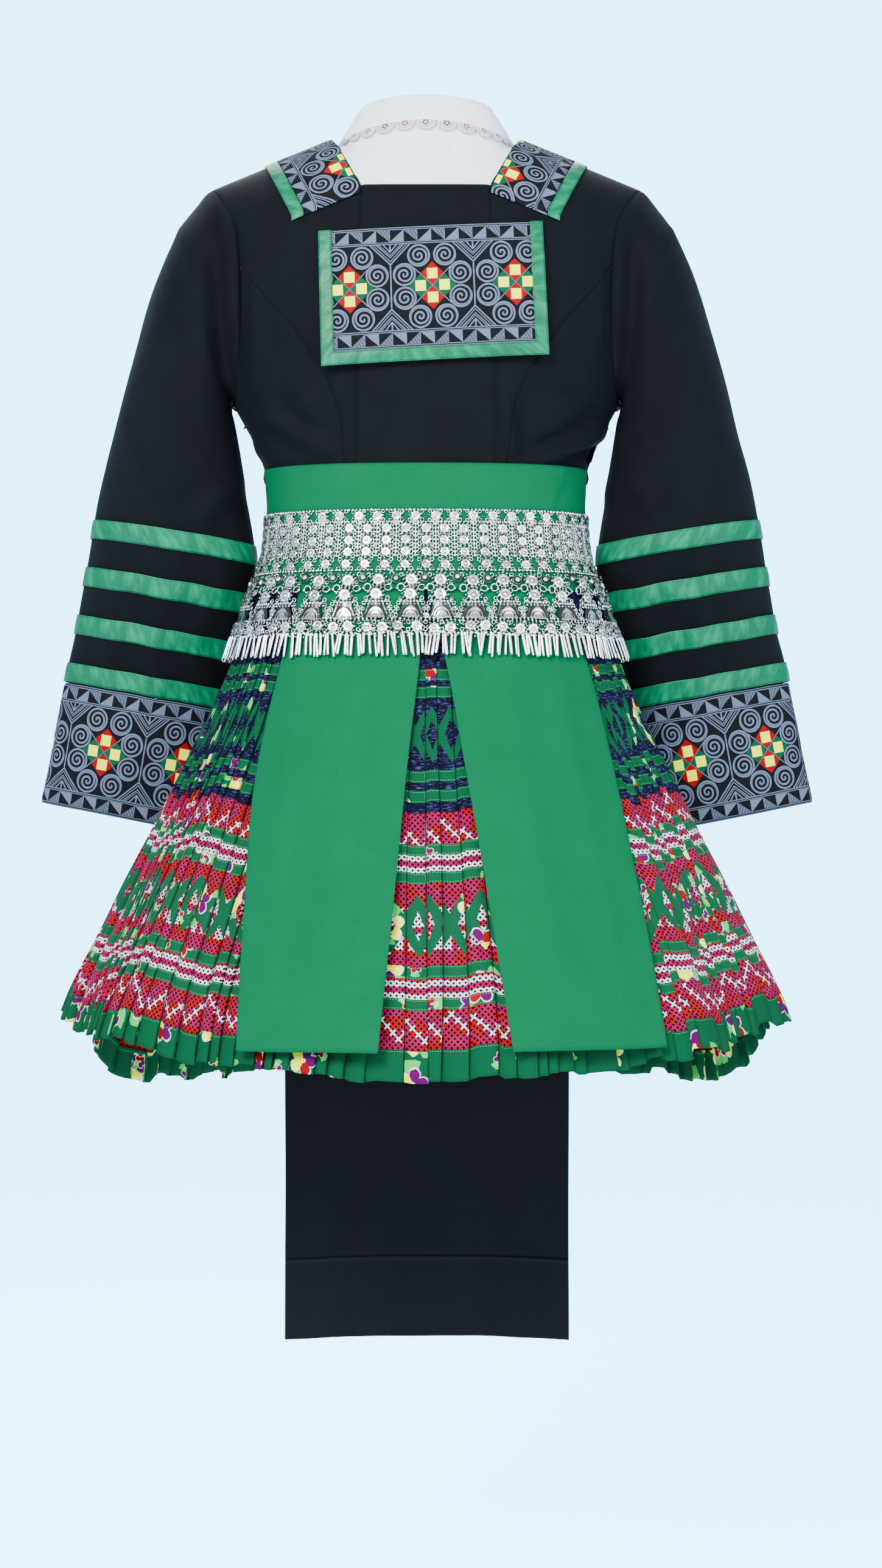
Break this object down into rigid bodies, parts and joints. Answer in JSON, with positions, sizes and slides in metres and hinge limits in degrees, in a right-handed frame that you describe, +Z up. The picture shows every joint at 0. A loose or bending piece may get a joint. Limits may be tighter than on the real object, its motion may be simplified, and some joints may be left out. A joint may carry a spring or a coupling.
{
  "type": "hmong_dress",
  "caption": "Festival dress as worn: black jacket with ribboned sleeves, white inner collar, green sash with tails, silver coin belt, pleated tiered skirt and long front apron.",
  "frame": {"origin": "midway between the two points where the shoulder seams meet the neck", "axes": "+Z up; the back of the dress faces +Y; the wearer's left is +X"},
  "size_m": [0.738, 0.5684, 1.179],
  "materials": {
    "suiting": "smooth matte black suiting",
    "spiral_cloth": "matte cotton with a grey spiral pattern on black",
    "satin_ribbon": "glossy satin",
    "white_cotton": "matte",
    "white_satin": "soft satin",
    "white_lace": "matte embroidered lace",
    "indigo_cloth": "matte pleated cotton with green bands",
    "cross_stitch": "pleated cotton covered in cross stitch",
    "flowered_cotton": "pleated printed cotton",
    "sash_cloth": "plain weave, matte",
    "silver": "bright stamped metal"
  },
  "bodies": {
    "root": {"jacket_back_centre": "suiting", "jacket_back_mid_left": "suiting", "jacket_back_mid_right": "suiting", "jacket_back_side_left": "suiting", "jacket_back_side_right": "suiting", "jacket_front_left": "suiting", "jacket_front_right": "suiting", "sleeve_left": "suiting", "sleeve_right": "suiting", "apron": "suiting", "apron_hem_band": "suiting", "shoulder_band_left": "spiral_cloth", "shoulder_band_right": "spiral_cloth", "back_flap": "spiral_cloth", "cuff_left": "spiral_cloth", "cuff_right": "spiral_cloth", "shoulder_ribbon_left": "satin_ribbon", "shoulder_ribbon_right": "satin_ribbon", "back_flap_ribbon": "satin_ribbon", "sleeve_ribbon_left_1": "satin_ribbon", "sleeve_ribbon_left_2": "satin_ribbon", "sleeve_ribbon_left_3": "satin_ribbon", "sleeve_ribbon_left_4": "satin_ribbon", "sleeve_ribbon_right_1": "satin_ribbon", "sleeve_ribbon_right_2": "satin_ribbon", "sleeve_ribbon_right_3": "satin_ribbon", "sleeve_ribbon_right_4": "satin_ribbon", "inner_collar": "white_cotton", "inner_yoke": "white_satin", "collar_lace": "white_lace", "skirt_waistband": "indigo_cloth", "skirt_indigo_tier": "indigo_cloth", "skirt_stitched_tier": "cross_stitch", "skirt_hem_band": "flowered_cotton", "sash": "sash_cloth", "sash_tail_left": "sash_cloth", "sash_tail_right": "sash_cloth", "belt_band": "silver", "belt_bells": "silver", "belt_fringe": "silver"}
  },
  "joints": []
}
